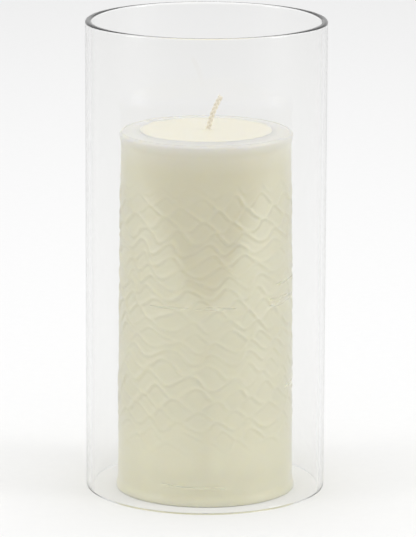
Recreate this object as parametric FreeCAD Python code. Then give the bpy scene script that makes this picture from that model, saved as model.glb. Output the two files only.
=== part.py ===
"""Hurricane candle: a pillar candle that stands inside an open-ended clear glass cylinder.

Millimetres, +Z up. The origin is on the candle's axis, on the surface that both the candle and the glass stand
on. The wick leans towards +X.

How it comes apart:
  glass_cylinder  straight glass tube, open at both ends, with fire-polished lips; it lifts off upwards
  candle_body     first pour: a pillar of hard translucent wax, drafted so that it leaves its mould, with the
                  conical sink hole that shrinking wax leaves round the wick
  top_pour        second pour: cream wax that fills the sink hole and makes the round disc on the top
  wick            braided cotton wick, upright in the wax and curling over above it
  wick_sustainer  pressed tinplate tab whose collar holds the foot of the wick
"""

import FreeCAD
import Part

import math
import os

# ---- candle body
CANDLE_DIAMETER = 76.0  # across the foot
CANDLE_HEIGHT = 154.0
CANDLE_DRAFT = 1.5  # how much smaller the radius is at the top than at the foot
SHOULDER_ROUNDING = 1.2
RING_WIDTH = 7.5  # bare ring of the first pour, between the disc and the shoulder
RING_FALL = 0.5  # how far the top falls from the disc to the side
FOOT_EDGE_ROUNDING = 0.5

# ---- sink hole, filled by the top pour
DISH_DEPTH = 5.0  # the shallow dish under the disc
DISH_SLOPE_RUN = 6.0  # how far in the dish reaches before the funnel starts
FUNNEL_DEPTH = 72.0  # from the disc to the funnel's lowest point
FUNNEL_TIP_RADIUS = 5.5

# ---- wick
WICK_DIAMETER = 2.3
WICK_CLEARANCE = 0.05
WICK_EXPOSED_RISE = 14.0  # height of the wick's tip over the disc
WICK_CURL_RADIUS = 45.0
WICK_CURL_DEPTH = 8.5  # how far under the disc the curl starts

# ---- wick sustainer
TAB_DIAMETER = 19.0
TAB_SHEET = 0.3  # thickness of the tinplate
TAB_RECESS = 0.4  # gap between the tab and the surface that the candle stands on
TAB_STEP_RADIUS = 6.5  # the middle of the tab is raised inside this radius
TAB_STEP_RISE = 0.5
TAB_CLEARANCE = 0.15
COLLAR_HEIGHT = 7.0
COLLAR_FOOT_GAP = 0.25  # between the collar and the wick, at the collar's foot

# ---- glass cylinder
GLASS_WALL = 2.5
LIP_ROUNDING = 0.9  # left by fire polishing, on all four edges
AIR_GAP = 10.3  # all round, between the candle's foot and the glass
CHIMNEY_HEIGHT = 46.6  # how far the glass stands over the candle

# ---- sizes that follow from these
CANDLE_FOOT_RADIUS = CANDLE_DIAMETER / 2
CANDLE_TOP_RADIUS = CANDLE_FOOT_RADIUS - CANDLE_DRAFT
DISC_RADIUS = CANDLE_TOP_RADIUS - SHOULDER_ROUNDING - RING_WIDTH
WICK_RADIUS = WICK_DIAMETER / 2
TAB_RADIUS = TAB_DIAMETER / 2
GLASS_INNER_RADIUS = CANDLE_FOOT_RADIUS + AIR_GAP
GLASS_OUTER_RADIUS = GLASS_INNER_RADIUS + GLASS_WALL
GLASS_HEIGHT = CANDLE_HEIGHT + CHIMNEY_HEIGHT

OVERSHOOT = 1.0  # how far a cutting shape runs past the face that it opens
AXIS_START = FreeCAD.Vector(0, 0, 0)
AXIS_UP = FreeCAD.Vector(0, 0, 1)
FULL_TURN = 360


def point(radius, height):
    """A point of a half section, which lies in the XZ plane."""
    return FreeCAD.Vector(radius, 0, height)


def line(start, end):
    return Part.LineSegment(start, end).toShape()


def closed_face(points):
    """The flat face inside a closed outline of straight sides."""
    return Part.Face(Part.makePolygon(points + points[:1]))


def turned(face):
    """The solid that a half section makes when it turns about the axis."""
    return face.revolve(AXIS_START, AXIS_UP, FULL_TURN)


def edges_on_circle(solid, radius, height, slack=1e-3):
    """The round edges of that radius whose centre is on the axis at that height."""
    found = []
    for edge in solid.Edges:
        curve = edge.Curve
        if not isinstance(curve, Part.Circle):
            continue
        if abs(curve.Radius - radius) < slack and abs(curve.Center.z - height) < slack:
            found.append(edge)
    return found


def only_solid(shape):
    """The single solid that a shape holds."""
    solids = shape.Solids
    assert len(solids) == 1, f"expected one solid, found {len(solids)}"
    return solids[0]


def glass_cylinder():
    tube = turned(closed_face([
        point(GLASS_INNER_RADIUS, 0),
        point(GLASS_OUTER_RADIUS, 0),
        point(GLASS_OUTER_RADIUS, GLASS_HEIGHT),
        point(GLASS_INNER_RADIUS, GLASS_HEIGHT),
    ]))
    lips = []
    for height in (0, GLASS_HEIGHT):
        for radius in (GLASS_INNER_RADIUS, GLASS_OUTER_RADIUS):
            lips += edges_on_circle(tube, radius, height)
    widest_rounding = 0.45 * GLASS_WALL
    return only_solid(tube.makeFillet(min(LIP_ROUNDING, widest_rounding), lips))


def sink_hole():
    """The space under the disc: a shallow dish that narrows to a funnel with a round tip."""
    funnel_top = point(DISC_RADIUS - DISH_SLOPE_RUN, CANDLE_HEIGHT - DISH_DEPTH)
    tip_centre = point(0, CANDLE_HEIGHT - FUNNEL_DEPTH + FUNNEL_TIP_RADIUS)

    # the funnel's side is the line from its top that just touches the round tip
    reach = funnel_top - tip_centre
    touch_angle = math.atan2(reach.z, reach.x) - math.acos(FUNNEL_TIP_RADIUS / reach.Length)
    lowest_angle = -math.pi / 2

    def on_tip(angle):
        return tip_centre + point(math.cos(angle), math.sin(angle)) * FUNNEL_TIP_RADIUS

    touch = on_tip(touch_angle)
    halfway = on_tip((touch_angle + lowest_angle) / 2)
    lowest = on_tip(lowest_angle)

    disc_centre = point(0, CANDLE_HEIGHT)
    disc_edge = point(DISC_RADIUS, CANDLE_HEIGHT)
    outline = Part.Wire([
        line(disc_centre, disc_edge),
        line(disc_edge, funnel_top),
        line(funnel_top, touch),
        Part.Arc(touch, halfway, lowest).toShape(),
        line(lowest, disc_centre),
    ])
    return turned(Part.Face(outline))


def wick_rod(radius, start_height, tip_rise):
    """A round rod along the wick's centreline: up the axis, then curling over towards +X."""
    curl_height = CANDLE_HEIGHT - WICK_CURL_DEPTH
    tip_angle = math.asin((WICK_CURL_DEPTH + tip_rise) / WICK_CURL_RADIUS)

    def on_curl(angle):
        aside = WICK_CURL_RADIUS * (1 - math.cos(angle))
        up = WICK_CURL_RADIUS * math.sin(angle)
        return point(aside, curl_height + up)

    start = point(0, start_height)
    curl_start = on_curl(0)
    curl = Part.Arc(curl_start, on_curl(tip_angle / 2), on_curl(tip_angle)).toShape()
    path = Part.Wire([line(start, curl_start), curl])
    section = Part.Wire([Part.makeCircle(radius, start, AXIS_UP)])
    make_solid = True
    frenet = False
    return only_solid(path.makePipeShell([section], make_solid, frenet))


def wick_channel():
    """The way that the wick takes through both pours, out of the foot and out of the disc."""
    past_the_disc = 4 * OVERSHOOT
    return wick_rod(WICK_RADIUS + WICK_CLEARANCE, -OVERSHOOT, past_the_disc)


def wick_sustainer():
    """A stepped disc of sheet that rises into a collar, narrower at its top, where it grips the wick."""
    bore_foot = WICK_RADIUS + COLLAR_FOOT_GAP
    bore_top = WICK_RADIUS + WICK_CLEARANCE
    under = TAB_RECESS
    over = TAB_RECESS + TAB_SHEET
    step_inside = TAB_STEP_RADIUS - TAB_STEP_RISE / 2
    step_outside = TAB_STEP_RADIUS + TAB_STEP_RISE / 2
    return only_solid(turned(closed_face([
        point(bore_foot, under + TAB_STEP_RISE),
        point(step_inside, under + TAB_STEP_RISE),
        point(step_outside, under),
        point(TAB_RADIUS, under),
        point(TAB_RADIUS, over),
        point(step_outside, over),
        point(step_inside, over + TAB_STEP_RISE),
        point(bore_foot + TAB_SHEET, over + TAB_STEP_RISE),
        point(bore_top + TAB_SHEET, under + COLLAR_HEIGHT),
        point(bore_top, under + COLLAR_HEIGHT),
    ])))


def sustainer_pocket():
    """The recess in the candle's foot that the sustainer is pressed up into."""
    tab_side = TAB_RADIUS + TAB_CLEARANCE
    tab_top = TAB_RECESS + TAB_SHEET + TAB_STEP_RISE + TAB_CLEARANCE
    collar_side = WICK_RADIUS + COLLAR_FOOT_GAP + TAB_SHEET + TAB_CLEARANCE
    collar_top = TAB_RECESS + COLLAR_HEIGHT + TAB_CLEARANCE
    return turned(closed_face([
        point(0, -OVERSHOOT),
        point(tab_side, -OVERSHOOT),
        point(tab_side, tab_top),
        point(collar_side, tab_top),
        point(collar_side, collar_top),
        point(0, collar_top),
    ]))


def candle_body():
    ring_edge_height = CANDLE_HEIGHT - RING_FALL
    pillar = turned(closed_face([
        point(0, 0),
        point(CANDLE_FOOT_RADIUS, 0),
        point(CANDLE_TOP_RADIUS, ring_edge_height),
        point(DISC_RADIUS, CANDLE_HEIGHT),
        point(0, CANDLE_HEIGHT),
    ]))
    pillar = pillar.makeFillet(SHOULDER_ROUNDING, edges_on_circle(pillar, CANDLE_TOP_RADIUS, ring_edge_height))
    pillar = pillar.makeFillet(FOOT_EDGE_ROUNDING, edges_on_circle(pillar, CANDLE_FOOT_RADIUS, 0))
    return only_solid(pillar.cut([sink_hole(), wick_channel(), sustainer_pocket()]))


def top_pour():
    return only_solid(sink_hole().cut(wick_channel()))


def wick():
    """The wick runs from the tab's upper side, up through its collar and the wax."""
    foot_height = TAB_RECESS + TAB_SHEET
    return wick_rod(WICK_RADIUS, foot_height, WICK_EXPOSED_RISE)


PIECES = (glass_cylinder, candle_body, top_pour, wick, wick_sustainer)


def main():
    os.makedirs("parts", exist_ok=True)
    for piece in PIECES:
        solid = piece()
        assert solid.isValid(), f"{piece.__name__} is not a valid solid"
        solid.exportStep(os.path.join("parts", f"{piece.__name__}.step"))
        box = solid.optimalBoundingBox(False)
        print(
            f"{piece.__name__:16s} {box.XLength:7.2f} x {box.YLength:7.2f} x {box.ZLength:7.2f} mm,"
            f" z {box.ZMin:7.2f} to {box.ZMax:7.2f}, {solid.Volume / 1000:.2f} cm3"
        )


if __name__ == "__main__":
    main()
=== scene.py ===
"""Looks of a hurricane candle: an embossed pillar of translucent wax inside an open glass cylinder.

Metres, +Z up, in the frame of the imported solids. Each piece of the object has its own operator, and the sizes and
colours that a maker would change are in the property groups.
"""

import math

import bpy
from bpy.props import FloatProperty, FloatVectorProperty, IntProperty, PointerProperty
from bpy.types import Operator, Panel, PropertyGroup
from mathutils import Euler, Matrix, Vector, noise


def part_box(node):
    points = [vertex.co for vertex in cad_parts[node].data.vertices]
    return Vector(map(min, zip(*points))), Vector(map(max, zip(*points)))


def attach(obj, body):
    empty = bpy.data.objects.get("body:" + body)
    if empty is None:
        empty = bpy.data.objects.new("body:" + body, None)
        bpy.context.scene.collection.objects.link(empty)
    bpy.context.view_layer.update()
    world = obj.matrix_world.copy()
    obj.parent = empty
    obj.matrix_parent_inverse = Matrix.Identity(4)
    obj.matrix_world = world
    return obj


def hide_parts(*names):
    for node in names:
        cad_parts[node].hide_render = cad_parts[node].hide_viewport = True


bl_info = {
    "name": "Hurricane Candle",
    "version": (1, 0, 0),
    "blender": (4, 5, 0),
    "location": "3D View > Sidebar > Candle",
    "description": "Pillar candle with an embossed side, inside a clear glass cylinder",
    "category": "Add Mesh",
}

MM = 0.001

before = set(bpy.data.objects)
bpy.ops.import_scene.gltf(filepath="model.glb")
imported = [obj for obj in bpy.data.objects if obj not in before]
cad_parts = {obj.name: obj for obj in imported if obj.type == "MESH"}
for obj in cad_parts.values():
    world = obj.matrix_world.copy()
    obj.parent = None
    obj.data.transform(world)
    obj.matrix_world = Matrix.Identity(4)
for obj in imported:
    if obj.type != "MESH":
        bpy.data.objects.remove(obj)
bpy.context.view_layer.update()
GLASS_LOW, GLASS_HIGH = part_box("glass_cylinder")
CANDLE_LOW, CANDLE_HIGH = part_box("candle_body")
POUR_LOW, POUR_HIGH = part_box("top_pour")
WICK_LOW, WICK_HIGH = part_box("wick")
TAB_LOW, TAB_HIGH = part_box("wick_sustainer")


def length(name, description, default, **more):
    return FloatProperty(name=name, description=description, default=default, unit="LENGTH", min=0, **more)


def colour(name, description, default):
    return FloatVectorProperty(
        name=name, description=description, default=default, subtype="COLOR", size=3, min=0, max=1
    )


class GlassSettings(PropertyGroup):
    wall: length("Wall", "Thickness of the glass", 2.5 * MM)
    lip_rounding: length("Lip rounding", "Radius that fire polishing leaves on the lips", 0.9 * MM)
    sides: IntProperty(name="Sides", description="Faces round the tube", default=256, min=32)
    tint: colour("Tint", "What one wall lets through", (0.955, 0.955, 0.95))
    shade: colour("Shade", "What the tube lets through to the things behind it", (0.985, 0.985, 0.98))


class WaxSettings(PropertyGroup):
    draft: length("Draft", "How much smaller the radius is at the top than at the foot", 1.5 * MM)
    shoulder: length("Shoulder", "Radius of the soft edge at the top", 1.2 * MM)
    foot_rounding: length("Foot rounding", "Radius of the edge at the foot", 0.5 * MM)
    ring_fall: length("Ring fall", "How far the top falls from the disc to the side", 0.5 * MM)
    relief: length("Relief", "Height of the embossed lines", 0.7 * MM)
    cell_height: length("Cell height", "Height of one row of waves", 4.7 * MM)
    cells_round: IntProperty(name="Cells round", description="Waves in one row", default=15, min=3)
    seed: IntProperty(name="Seed", description="Picks one pattern of waves", default=3, min=1)
    body_colour: colour("Body colour", "Hard translucent wax", (0.83, 0.805, 0.62))
    deep_colour: colour("Deep colour", "Second pour where it lies deep in the first", (0.68, 0.52, 0.12))
    cream_colour: colour("Cream colour", "Soft wax of the second pour", (0.76, 0.73, 0.61))


class SinkSettings(PropertyGroup):
    dish_depth: length("Dish depth", "Depth of the shallow dish under the disc", 5.0 * MM)
    dish_run: length("Dish run", "How far in the dish reaches before the funnel starts", 6.0 * MM)
    tip_radius: length("Tip radius", "Radius of the funnel's round tip", 5.5 * MM)
    bond: length("Bond", "How deep the second pour has melted into the first", 0.1 * MM)


class WickSettings(PropertyGroup):
    strand: length("Strand", "Radius of one strand of the braid", 0.5 * MM)
    pitch: length("Pitch", "Length over which the braid repeats", 6.0 * MM)
    curl_radius: length("Curl radius", "Radius of the curl at the top", 45.0 * MM)
    curl_depth: length("Curl depth", "How far under the disc the curl starts", 8.5 * MM)
    cotton_colour: colour("Cotton colour", "Waxed cotton", (0.92, 0.85, 0.72))


class StageSettings(PropertyGroup):
    floor_size: length("Floor size", "Side of the floor", 14.0)
    camera_distance: length("Camera distance", "From the candle's axis, along the floor", 1643.5 * MM)
    camera_height: length("Camera height", "Over the floor", 460.06 * MM)
    lens: FloatProperty(name="Lens", description="Focal length in millimetres", default=266.49, min=1)


# ---- shader maths


class Value:
    """A socket of a shader tree that can be used in sums."""

    def __init__(self, shader, socket):
        self.shader = shader
        self.socket = socket

    def math(self, operation, *others, clamp=False):
        return self.shader.node("ShaderNodeMath", {"operation": operation, "use_clamp": clamp}, [self, *others])

    def __add__(self, other):
        return self.math("ADD", other)

    def __sub__(self, other):
        return self.math("SUBTRACT", other)

    def __rsub__(self, other):
        return self.shader.node("ShaderNodeMath", {"operation": "SUBTRACT"}, [other, self])

    def __mul__(self, other):
        return self.math("MULTIPLY", other)

    def __truediv__(self, other):
        return self.math("DIVIDE", other)

    def __pow__(self, other):
        return self.math("POWER", other)

    __radd__ = __add__
    __rmul__ = __mul__


class Shader:
    """One material's tree. Every node comes from node()."""

    def __init__(self, name):
        self.material = bpy.data.materials.new(name)
        self.material.use_nodes = True
        self.tree = self.material.node_tree
        self.tree.nodes.clear()
        self.object_position = self.node("ShaderNodeTexCoord", output="Object")

    def node(self, kind, settings=None, inputs=None, output=0):
        """Makes a node, sets its settings, then its sockets by name or by order, and returns one output."""
        made = self.tree.nodes.new(kind)
        for key, setting in (settings or {}).items():
            if key == "stops":
                self.set_stops(made.color_ramp, setting)
            else:
                setattr(made, key, setting)
        pairs = inputs.items() if isinstance(inputs, dict) else enumerate(inputs or [])
        for key, given in pairs:
            if isinstance(given, Value):
                self.tree.links.new(given.socket, made.inputs[key])
            else:
                made.inputs[key].default_value = given
        return Value(self, made.outputs[output])

    @staticmethod
    def set_stops(ramp, stops):
        while len(ramp.elements) < len(stops):
            ramp.elements.new(0.5)
        for element, (place, level) in zip(ramp.elements, stops):
            element.position = place
            element.color = (level, level, level, 1)

    def stretched(self, scale):
        """Object coordinates with each axis scaled."""
        return self.node("ShaderNodeMapping", {}, {"Vector": self.object_position, "Scale": scale})

    def noise(self, scale, detail=3.0, stretch=(1, 1, 1), rough=0.5):
        return self.node(
            "ShaderNodeTexNoise",
            {"noise_dimensions": "3D"},
            {"Vector": self.stretched(stretch), "Scale": scale, "Detail": detail, "Roughness": rough},
        )

    def ramp(self, value, stops):
        return self.node("ShaderNodeValToRGB", {"stops": stops}, [value])

    def blend(self, factor, low, high):
        """A colour between two colours."""
        return self.node(
            "ShaderNodeMix",
            {"data_type": "RGBA", "blend_type": "MIX"},
            {0: factor, 6: low, 7: high},
            output=2,
        )

    def bump(self, height, distance, strength=1.0):
        return self.node("ShaderNodeBump", {}, {"Height": height, "Distance": distance, "Strength": strength})

    def principled(self, inputs):
        return self.node("ShaderNodeBsdfPrincipled", {}, inputs)

    def finish(self, surface):
        self.node("ShaderNodeOutputMaterial", {}, {"Surface": surface}) if False else None
        output = self.tree.nodes.new("ShaderNodeOutputMaterial")
        self.tree.links.new(surface.socket, output.inputs["Surface"])
        return self.material


def rgba(values, factor=1.0):
    return (*[min(1.0, v * factor) for v in values], 1.0)


def glass_material(settings):
    shader = Shader("clear_glass")
    surface = shader.principled({
        "Base Color": rgba(settings.tint),
        "Roughness": 0.0,
        "IOR": 1.5,
        "Transmission Weight": 1.0,
    })
    clear = shader.node("ShaderNodeBsdfTransparent", {}, {"Color": rgba(settings.shade)})
    shadow = shader.node("ShaderNodeLightPath", output="Is Shadow Ray")
    spread = shader.node("ShaderNodeLightPath", output="Is Diffuse Ray")
    passes = shadow.math("MAXIMUM", spread)
    return shader.finish(shader.node("ShaderNodeMixShader", {}, [passes, surface, clear]))


def body_wax_material(settings):
    shader = Shader("translucent_wax")
    relief = shader.node("ShaderNodeAttribute", {"attribute_name": "relief"}, output="Fac")
    cloud = shader.noise(38.0, detail=2.0)
    streak = shader.noise(60.0, detail=3.0, stretch=(0.25, 0.25, 2.6))
    grain = shader.noise(900.0, detail=2.0)
    # The cloud and streak mottle is the wax's own colour. The relief term is painted light and shade: lighter on the
    # ridges, darker in the hollows.
    mottle_and_painted_relief_shade = (cloud - 0.5) * 0.5 + (streak - 0.5) * 0.35 + relief * 0.55
    wax_with_painted_light = shader.blend(
        (mottle_and_painted_relief_shade + 0.5).math("MULTIPLY", 1.0, clamp=True),
        rgba(settings.body_colour, 0.95),
        rgba(settings.body_colour, 1.06),
    )
    height_up = shader.node("ShaderNodeSeparateXYZ", {}, [shader.object_position], output="Z")
    # Painted light: the wax is whitened towards the top, standing in for light shining through the translucent edge.
    painted_top_glow = shader.ramp((height_up - CANDLE_HIGH.z) / (20 * MM) + 1, [(0.35, 0.0), (0.75, 0.4), (0.95, 1.0)])
    # Painted light: the wax is lightened near the foot, standing in for light bounced up from the floor.
    painted_foot_light = shader.ramp(height_up / (40 * MM), [(0.1, 1.0), (1.0, 0.0)])
    wax_with_painted_light = shader.blend(painted_foot_light * 0.5, wax_with_painted_light, rgba(settings.body_colour, 1.16))
    wax_with_painted_glow = shader.blend(painted_top_glow, wax_with_painted_light, (1.0, 0.99, 0.92, 1))
    height = streak * 0.5 + grain * 0.12 + cloud * 0.6
    return shader.finish(shader.principled({
        "Base Color": wax_with_painted_glow,
        "Roughness": shader.ramp(streak, [(0.3, 0.27), (0.7, 0.36)]),
        "IOR": 1.43,
        "Transmission Weight": 0.38,
        "Sheen Weight": 0.3,
        "Sheen Roughness": 0.35,
        "Subsurface Weight": 0.5,
        "Subsurface Radius": (1.0, 0.9, 0.6),
        "Subsurface Scale": 3 * MM,
        "Normal": shader.bump(height, 0.12 * MM, 0.5),
    }))


def cream_wax_material(settings):
    shader = Shader("cream_wax")
    cloud = shader.noise(60.0, detail=3.0)
    grain = shader.noise(1400.0, detail=2.0)
    pits = shader.node("ShaderNodeTexVoronoi", {}, {"Vector": shader.object_position, "Scale": 420.0})
    pit = shader.ramp(pits, [(0.05, 0.0), (0.16, 1.0)])
    shade = shader.blend(cloud, rgba(settings.cream_colour, 0.96), rgba(settings.cream_colour, 1.04))
    height_up = shader.node("ShaderNodeSeparateXYZ", {}, [shader.object_position], output="Z")
    skin = shader.ramp((height_up - POUR_HIGH.z) / (4 * MM) + 1, [(0.3, 0.0), (0.8, 1.0)])
    shade = shader.blend(skin, rgba(settings.deep_colour), shade)
    return shader.finish(shader.principled({
        "Base Color": shade,
        "Roughness": shader.ramp(cloud, [(0.3, 0.38), (0.7, 0.5)]),
        "IOR": 1.43,
        "Subsurface Weight": 0.4,
        "Subsurface Radius": (1.0, 0.85, 0.5),
        "Subsurface Scale": 2 * MM,
        "Normal": shader.bump(grain * 0.25 + pit * 0.2 + cloud, 0.1 * MM, 0.5),
    }))


def cotton_material(settings):
    shader = Shader("cotton")
    fibres = shader.noise(2600.0, detail=2.0, stretch=(1, 1, 0.22))
    soak = shader.noise(260.0, detail=2.0)
    shade = shader.blend(
        (fibres * 0.6 + soak * 0.4).math("MULTIPLY", 1.0, clamp=True),
        rgba(settings.cotton_colour, 0.72),
        rgba(settings.cotton_colour, 1.1),
    )
    return shader.finish(shader.principled({
        "Base Color": shade,
        "Roughness": shader.ramp(soak, [(0.3, 0.55), (0.7, 0.8)]),
        "Sheen Weight": 0.3,
        "Normal": shader.bump(fibres, 0.12 * MM, 0.8),
    }))


def tinplate_material():
    shader = Shader("tinplate")
    grain = shader.noise(500.0, detail=3.0, stretch=(1, 0.08, 1))
    spots = shader.noise(240.0, detail=3.0)
    return shader.finish(shader.principled({
        "Base Color": shader.blend(spots, (0.6, 0.59, 0.57, 1), (0.78, 0.78, 0.76, 1)),
        "Metallic": 1.0,
        "Roughness": shader.ramp(grain, [(0.3, 0.24), (0.7, 0.42)]),
        "Normal": shader.bump(grain, 0.02 * MM, 0.6),
    }))


def floor_material():
    shader = Shader("floor_paper")
    grain = shader.noise(220.0, detail=2.0)
    return shader.finish(shader.principled({
        "Base Color": shader.blend(grain, (0.80, 0.80, 0.80, 1), (0.82, 0.82, 0.82, 1)),
        "Roughness": 0.85,
        "Specular IOR Level": 0.1,
    }))


# ---- modelling helpers


def nothing_selected():
    if bpy.context.object and bpy.context.object.mode != "OBJECT":
        bpy.ops.object.mode_set(mode="OBJECT")
    bpy.ops.object.select_all(action="DESELECT")


def arc(centre, radius, start, end, count):
    """Points of (radius, height) along an arc, both ends included; angles in degrees."""
    angles = [math.radians(start + (end - start) * i / count) for i in range(count + 1)]
    return [(centre[0] + radius * math.cos(a), centre[1] + radius * math.sin(a)) for a in angles]


def lathe(name, outline, steps, long_edge_cuts=()):
    """Draws an outline by extruding a point, then spins it about Z. Its longest edge is cut up first, in rounds."""
    nothing_selected()
    bpy.ops.mesh.primitive_plane_add(size=MM)
    piece = bpy.context.object
    piece.name = name
    bpy.ops.object.mode_set(mode="EDIT")
    bpy.ops.mesh.merge(type="CENTER")
    start = outline[0]
    bpy.ops.transform.translate(value=(start[0], 0, start[1]))
    for before, after in zip(outline, outline[1:]):
        step = (after[0] - before[0], 0, after[1] - before[1])
        bpy.ops.mesh.extrude_region_move(TRANSFORM_OT_translate={"value": step})
    if long_edge_cuts:
        bpy.ops.mesh.select_all(action="DESELECT")
        bpy.ops.object.mode_set(mode="OBJECT")
        points = piece.data.vertices
        longest = max(piece.data.edges, key=lambda e: (points[e.vertices[0]].co - points[e.vertices[1]].co).length)
        longest.select = True
        bpy.ops.object.mode_set(mode="EDIT")
        bpy.ops.mesh.select_mode(type="EDGE")
        for cuts in long_edge_cuts:
            bpy.ops.mesh.subdivide(number_cuts=cuts)
        bpy.ops.mesh.select_mode(type="VERT")
    bpy.ops.mesh.select_all(action="SELECT")
    bpy.ops.mesh.spin(steps=steps, angle=2 * math.pi, center=(0, 0, 0), axis=(0, 0, 1))
    bpy.ops.mesh.select_all(action="SELECT")
    bpy.ops.mesh.remove_doubles(threshold=0.002 * MM)
    bpy.ops.mesh.normals_make_consistent(inside=False)
    bpy.ops.object.mode_set(mode="OBJECT")
    bpy.ops.object.shade_smooth_by_angle(angle=math.radians(50))
    return piece


def apply_modifier(piece, kind, **settings):
    modifier = piece.modifiers.new(kind.title(), kind)
    for key, setting in settings.items():
        setattr(modifier, key, setting)
    bpy.ops.object.modifier_apply(modifier=modifier.name)


def place(piece, body, node, slot, material):
    """Hands a finished piece to the frame."""
    piece.data.materials.clear()
    piece.data.materials.append(material)
    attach(piece, body)
    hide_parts(node)


def smoothstep(low, high, value):
    share = min(1.0, max(0.0, (value - low) / (high - low)))
    return share * share * (3 - 2 * share)


# ---- the candle's outlines


def sink_outline(settings, inset):
    """The sink hole's wall from the disc's edge to the funnel's tip, drawn in by inset."""
    disc_radius = POUR_HIGH.x - inset
    top = POUR_HIGH.z
    funnel_top = (POUR_HIGH.x - settings.dish_run - inset, top - settings.dish_depth)
    tip_radius = settings.tip_radius - inset
    tip_centre = (0.0, POUR_LOW.z + settings.tip_radius)
    across, up = funnel_top[0], funnel_top[1] - tip_centre[1]
    touch = math.degrees(math.atan2(up, across) - math.acos(tip_radius / math.hypot(across, up)))
    tip = arc(tip_centre, tip_radius, touch, -90, 10)
    tip[-1] = (0.0, tip[-1][1])
    return [(disc_radius, top), funnel_top, *tip]


def ridge_height(place, settings):
    """How high the embossed pattern stands at a place on the candle's side, from 0 to 1."""
    angle = math.atan2(place.y, place.x)
    broad = noise.noise_vector(place * 42.0)
    fine = noise.noise_vector(place * 160.0 + Vector((7, 3, 1)))
    round_place = settings.cells_round * angle / (2 * math.pi) + 0.5 * broad.x + 0.05 * fine.x
    up_place = place.z / settings.cell_height + 0.6 * broad.y + 0.07 * fine.y
    own_row = math.floor(up_place)
    cell_width = 2 * math.pi * CANDLE_HIGH.x / settings.cells_round
    line, hollow = 0.0, 0.0
    for row in (own_row - 1, own_row, own_row + 1):
        turn = math.pi * (round_place + noise.cell(Vector((row + 0.5, 0.5, 0.5))))
        line_height = row + 0.5 + 0.5 * math.cos(2 * turn)
        slope = math.pi * math.sin(2 * turn) * settings.cell_height / cell_width
        away = (up_place - line_height) * settings.cell_height / math.hypot(1, slope)
        line = max(line, math.exp(-((away / (0.6 * MM)) ** 2)))
        hollow = max(hollow, math.exp(-(((away + 1.2 * MM) / (0.8 * MM)) ** 2)))
    pillow = math.sin(math.pi * (up_place - own_row))
    strength = 0.55 + 0.45 * broad.z + 0.25 * fine.z
    ends = smoothstep(18 * MM, 34 * MM, place.z) * (1 - smoothstep(124 * MM, 140 * MM, place.z))
    return ends * max(0.2, strength) * (line - 0.5 * hollow * (1 - line) + 0.1 * pillow)


def emboss(candle, settings):
    """Presses the pattern into the side and keeps its height as an attribute for the wax."""
    mesh = candle.data
    noise.seed_set(settings.seed)
    heights = []
    side_low = CANDLE_LOW.z + settings.foot_rounding
    side_high = CANDLE_HIGH.z - settings.shoulder - settings.ring_fall
    for vertex in mesh.vertices:
        radius = math.hypot(vertex.co.x, vertex.co.y)
        on_side = side_low < vertex.co.z < side_high and radius > 0.9 * CANDLE_HIGH.x
        height = ridge_height(vertex.co, settings) if on_side else 0.0
        swell = 0.10 * noise.noise(vertex.co * 30.0) if on_side else 0.0
        heights.append(height)
        if on_side:
            inward = settings.relief * (1 - height - swell) * smoothstep(0, 4 * MM, vertex.co.z - side_low)
            inward *= smoothstep(0, 4 * MM, side_high - vertex.co.z)
            share = max(0.0, inward) / radius
            vertex.co.x -= vertex.co.x * share
            vertex.co.y -= vertex.co.y * share
    attribute = mesh.attributes.new("relief", "FLOAT", "POINT")
    attribute.data.foreach_set("value", heights)
    mesh.update()


# ---- operators


class PieceOperator:
    bl_options = {"REGISTER", "UNDO"}


class CANDLE_OT_glass(PieceOperator, Operator):
    """Adds the glass cylinder, open at both ends, with fire-polished lips"""

    bl_idname = "candle.glass"
    bl_label = "Glass Cylinder"

    def execute(self, context):
        settings = context.scene.glass_settings
        height = GLASS_HIGH.z - GLASS_LOW.z
        nothing_selected()
        bpy.ops.mesh.primitive_cylinder_add(
            vertices=settings.sides,
            radius=GLASS_HIGH.x,
            depth=height,
            end_fill_type="NOTHING",
            location=(0, 0, GLASS_LOW.z + height / 2),
        )
        glass = context.object
        glass.name = "glass_tube"
        bpy.ops.object.transform_apply(location=True)
        bpy.ops.object.mode_set(mode="EDIT")
        bpy.ops.mesh.select_all(action="SELECT")
        bpy.ops.mesh.normals_make_consistent(inside=False)
        bpy.ops.object.mode_set(mode="OBJECT")
        apply_modifier(glass, "SOLIDIFY", thickness=settings.wall, offset=-1, use_even_offset=True)
        apply_modifier(
            glass, "BEVEL", width=settings.lip_rounding, segments=5, limit_method="ANGLE", angle_limit=math.radians(60)
        )
        bpy.ops.object.shade_smooth()
        apply_modifier(glass, "WEIGHTED_NORMAL", weight=100)
        place(glass, "glass", "glass_cylinder", "clear_glass", glass_material(settings))
        return {"FINISHED"}


class CANDLE_OT_body(PieceOperator, Operator):
    """Adds the embossed pillar of hard wax, with its sink hole and the recess under it"""

    bl_idname = "candle.body"
    bl_label = "Candle Body"

    def execute(self, context):
        settings = context.scene.wax_settings
        sink = context.scene.sink_settings
        foot, top = CANDLE_HIGH.x, CANDLE_HIGH.z
        recess_radius = TAB_HIGH.x + 0.15 * MM
        recess_top = TAB_LOW.z + 0.95 * MM
        round_foot = settings.foot_rounding
        top_radius = foot - settings.draft
        shoulder = settings.shoulder
        ring_edge = top - settings.ring_fall
        crest = top_radius - shoulder
        outline = [(0, recess_top), (recess_radius, recess_top), (recess_radius, CANDLE_LOW.z)]
        outline += arc((foot - round_foot, round_foot), round_foot, -90, 0, 4)
        outline += arc((crest, ring_edge - shoulder), shoulder, 0, 84, 14)
        outline += arc((crest, ring_edge - 0.1 * MM), 0.35 * MM, 70, 165, 5)
        outline += sink_outline(sink, sink.bond)
        candle = lathe("candle_wax", outline, steps=340, long_edge_cuts=(14, 14))
        emboss(candle, settings)
        place(candle, "candle", "candle_body", "translucent_wax", body_wax_material(settings))
        return {"FINISHED"}


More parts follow.
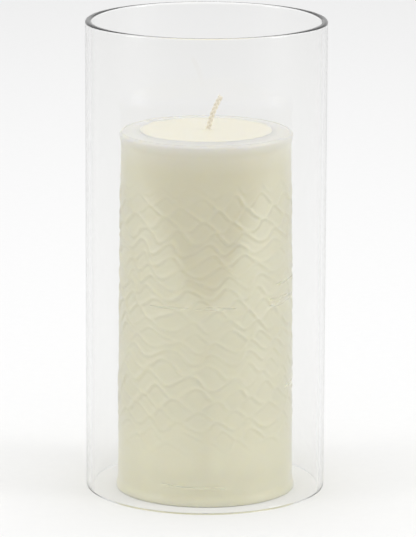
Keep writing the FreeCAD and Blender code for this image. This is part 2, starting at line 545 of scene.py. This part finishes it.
class CANDLE_OT_top_pour(PieceOperator, Operator):
    """Adds the cream wax that fills the sink hole and makes the disc on the top"""

    bl_idname = "candle.top_pour"
    bl_label = "Top Pour"

    def execute(self, context):
        sink = context.scene.sink_settings
        top = POUR_HIGH.z
        wall = sink_outline(sink, 0.0)
        disc_edge = wall[0][0]
        outline = [
            (0, top + 0.5 * MM),
            (1.3 * MM, top + 0.45 * MM),
            (1.9 * MM, top + 0.12 * MM),
            (3.2 * MM, top - 0.08 * MM),
            (7.0 * MM, top - 0.15 * MM),
            (disc_edge - 6.0 * MM, top - 0.05 * MM),
            (disc_edge - 0.6 * MM, top + 0.1 * MM),
            (disc_edge - 0.1 * MM, top + 0.04 * MM),
            *wall,
        ]
        pour = lathe("cream_pour", outline, steps=160)
        place(pour, "candle", "top_pour", "cream_wax", cream_wax_material(context.scene.wax_settings))
        return {"FINISHED"}


class CANDLE_OT_wick(PieceOperator, Operator):
    """Adds the braided wick, upright in the wax and curling over above it"""

    bl_idname = "candle.wick"
    bl_label = "Braided Wick"

    def execute(self, context):
        settings = context.scene.wick_settings
        radius = (WICK_HIGH.y - WICK_LOW.y) / 2
        half_width = radius - settings.strand
        half_depth = 0.62 * half_width
        foot = WICK_LOW.z
        curl_start = POUR_HIGH.z - settings.curl_depth
        straight = curl_start - foot
        tip_angle = math.asin((WICK_HIGH.z - curl_start - 0.5 * MM) / settings.curl_radius)
        whole = straight + settings.curl_radius * tip_angle

        def centre(along):
            """A point of the wick's centreline, and the direction across it in the plane of the curl."""
            if along <= straight:
                return Vector((0, 0, foot + along)), Vector((1, 0, 0))
            turn = (along - straight) / settings.curl_radius
            aside = settings.curl_radius * (1 - math.cos(turn))
            up = settings.curl_radius * math.sin(turn)
            return Vector((aside, 0, curl_start + up)), Vector((math.cos(turn), 0, -math.sin(turn)))

        def add_strand(points, thickness, sides):
            curve = bpy.data.curves.new("strand", "CURVE")
            curve.dimensions = "3D"
            curve.bevel_depth = thickness
            curve.bevel_resolution = sides
            curve.use_fill_caps = True
            spline = curve.splines.new("POLY")
            spline.points.add(len(points) - 1)
            for target, source in zip(spline.points, points):
                target.co = (*source, 1)
            strand = bpy.data.objects.new("strand", curve)
            context.collection.objects.link(strand)
            return strand

        nothing_selected()
        strands = []
        steps = int(whole / settings.pitch * 18)
        for number in range(3):
            points = []
            for i in range(steps + 1):
                along = whole * i / steps
                middle, across = centre(along)
                turn = 2 * math.pi * (along / settings.pitch + number / 3)
                side = Vector((0, 1, 0)) * half_width * math.sin(2 * turn) * 0.8 / 1.0
                points.append(middle + across * half_width * math.sin(turn) + side * half_depth / half_width)
            strands.append(add_strand(points, settings.strand, 2))
        middle, across = centre(whole)
        up = Vector((-across.z, 0, across.x))
        for number in range(14):
            turn = number * 2.4
            spread = across * math.cos(turn) + Vector((0, 1, 0)) * math.sin(turn)
            root = middle - up * 1.2 * MM + spread * 0.55 * MM
            reach = (0.9 + 0.5 * math.sin(5 * number)) * MM
            bow = spread * (0.25 + 0.2 * math.cos(3 * number)) * MM
            points = [root + up * reach * 1.5 * share + bow * share * share for share in (0, 0.4, 0.75, 1)]
            strands.append(add_strand(points, 0.06 * MM, 1))
        for strand in strands:
            strand.select_set(True)
        context.view_layer.objects.active = strands[0]
        bpy.ops.object.convert(target="MESH")
        bpy.ops.object.join()
        wick = context.object
        wick.name = "braided_wick"
        bpy.ops.object.shade_smooth()
        place(wick, "candle", "wick", "cotton", cotton_material(settings))
        return {"FINISHED"}


class CANDLE_OT_sustainer(PieceOperator, Operator):
    """Finishes the wick's tab as bright tinplate"""

    bl_idname = "candle.sustainer"
    bl_label = "Wick Sustainer"

    def execute(self, context):
        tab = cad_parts["wick_sustainer"]
        tab.data.materials.clear()
        tab.data.materials.append(tinplate_material())
        return {"FINISHED"}


class CANDLE_OT_stage(PieceOperator, Operator):
    """Adds the floor, the soft light and the camera"""

    bl_idname = "candle.stage"
    bl_label = "Stage"

    def add_softbox(self, name, place, aim, size, power):
        light = bpy.data.lights.new(name, "AREA")
        light.shape = "RECTANGLE"
        light.size, light.size_y = size
        light.energy = power
        lamp = bpy.data.objects.new(name, light)
        bpy.context.collection.objects.link(lamp)
        lamp.location = place
        lamp.rotation_euler = (Vector(aim) - Vector(place)).to_track_quat("-Z", "Y").to_euler()

    def execute(self, context):
        settings = context.scene.stage_settings
        nothing_selected()
        bpy.ops.mesh.primitive_plane_add(size=settings.floor_size, location=(0, 0, -0.1 * MM))
        floor = context.object
        floor.name = "floor"
        floor.data.materials.append(floor_material())

        world = bpy.data.worlds.new("studio")
        context.scene.world = world
        world.use_nodes = True
        background = world.node_tree.nodes["Background"]
        background.inputs["Color"].default_value = (1, 1, 1, 1)
        background.inputs["Strength"].default_value = 0.86
        middle = (0, 0, 0.1)
        self.add_softbox("key", (0.0, 0.2, 2.0), middle, (2.0, 2.0), 13)
        self.add_softbox("left", (-1.6, -0.5, 0.7), middle, (0.5, 1.6), 6)
        self.add_softbox("right", (1.6, -0.5, 0.7), middle, (0.5, 1.6), 8)

        camera_data = bpy.data.cameras.new("camera")
        camera_data.sensor_width = 36
        camera_data.lens = settings.lens
        camera = bpy.data.objects.new("camera", camera_data)
        context.collection.objects.link(camera)
        camera.location = (0, -settings.camera_distance, settings.camera_height)
        pitch_down, yaw, roll = (math.radians(a) for a in (12.5547, 0.034, 0.204))
        look = Euler((math.pi / 2 - pitch_down, 0, -yaw)).to_matrix()
        lean = Euler((0, 0, roll)).to_matrix()
        camera.rotation_euler = (look @ lean).to_euler()
        context.scene.camera = camera
        context.scene.view_settings.view_transform = "Standard"
        return {"FINISHED"}


class CANDLE_PT_panel(Panel):
    """Lists the candle's pieces and their settings"""

    bl_idname = "CANDLE_PT_panel"
    bl_label = "Hurricane Candle"
    bl_space_type = "VIEW_3D"
    bl_region_type = "UI"
    bl_category = "Candle"

    def draw(self, context):
        for operator in OPERATORS:
            self.layout.operator(operator.bl_idname)
        for name in SETTINGS:
            box = self.layout.box()
            settings = getattr(context.scene, name)
            for key in settings.bl_rna.properties.keys():
                if key not in ("rna_type", "name"):
                    box.prop(settings, key)


SETTINGS = {
    "glass_settings": GlassSettings,
    "wax_settings": WaxSettings,
    "sink_settings": SinkSettings,
    "wick_settings": WickSettings,
    "stage_settings": StageSettings,
}
OPERATORS = (
    CANDLE_OT_glass,
    CANDLE_OT_body,
    CANDLE_OT_top_pour,
    CANDLE_OT_wick,
    CANDLE_OT_sustainer,
    CANDLE_OT_stage,
)
CLASSES = (*SETTINGS.values(), *OPERATORS, CANDLE_PT_panel)


def register():
    for cls in CLASSES:
        bpy.utils.register_class(cls)
    for name, cls in SETTINGS.items():
        setattr(bpy.types.Scene, name, PointerProperty(type=cls))


def unregister():
    for name in SETTINGS:
        delattr(bpy.types.Scene, name)
    for cls in reversed(CLASSES):
        bpy.utils.unregister_class(cls)


def main():
    register()
    bpy.ops.candle.glass()
    bpy.ops.candle.body()
    bpy.ops.candle.top_pour()
    bpy.ops.candle.wick()
    bpy.ops.candle.sustainer()
    bpy.ops.candle.stage()


if __name__ == "__main__":
    main()
